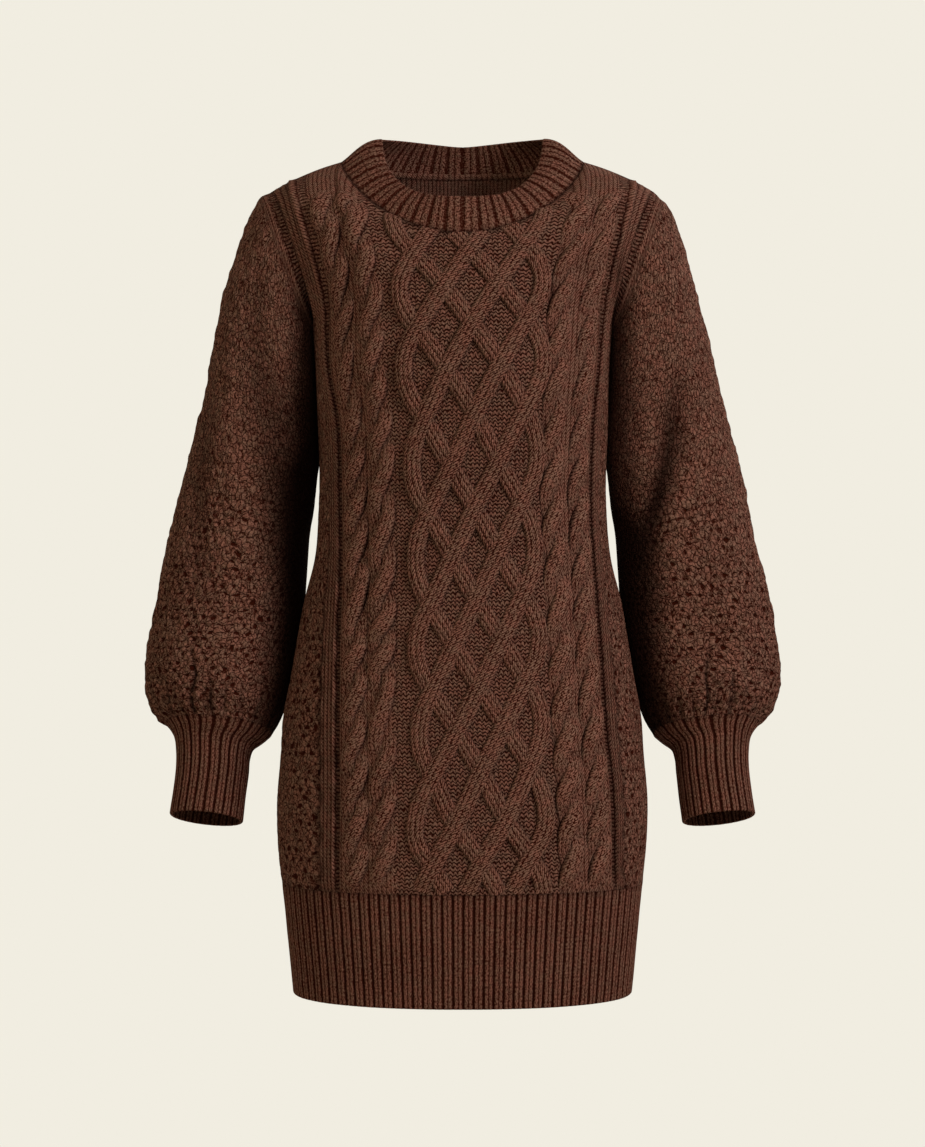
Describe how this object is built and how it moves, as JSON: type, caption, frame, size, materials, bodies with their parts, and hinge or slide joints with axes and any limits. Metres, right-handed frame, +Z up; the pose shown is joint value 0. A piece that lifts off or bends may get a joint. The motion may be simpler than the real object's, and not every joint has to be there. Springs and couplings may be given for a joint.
{
  "type": "sweater dress",
  "caption": "Long-sleeved cable-knit sweater dress, hollow and filled out, with a ribbed crew neck, balloon sleeves, ribbed cuffs and a deep ribbed hem.",
  "frame": {"origin": "middle of the neck opening at the height of the shoulder seams beside the neck, where the wearer's shoulders hold the dress up", "axes": "+Z up towards the neck, +X to the wearer's left, +Y to the wearer's back, so the front faces -Y"},
  "size_m": [0.64, 0.231, 0.8555],
  "materials": {
    "cable_knit": "matte dark brown wool yarn, cable knit",
    "moss_knit": "matte dark brown wool yarn, moss knit",
    "rib_knit": "matte dark brown wool yarn, ribbed"
  },
  "bodies": {
    "root": {"front": "cable_knit", "back": "moss_knit", "sleeve_left": "moss_knit", "sleeve_right": "moss_knit", "neckband": "rib_knit", "hem_band": "rib_knit", "cuff_left": "rib_knit", "cuff_right": "rib_knit"}
  },
  "joints": []
}
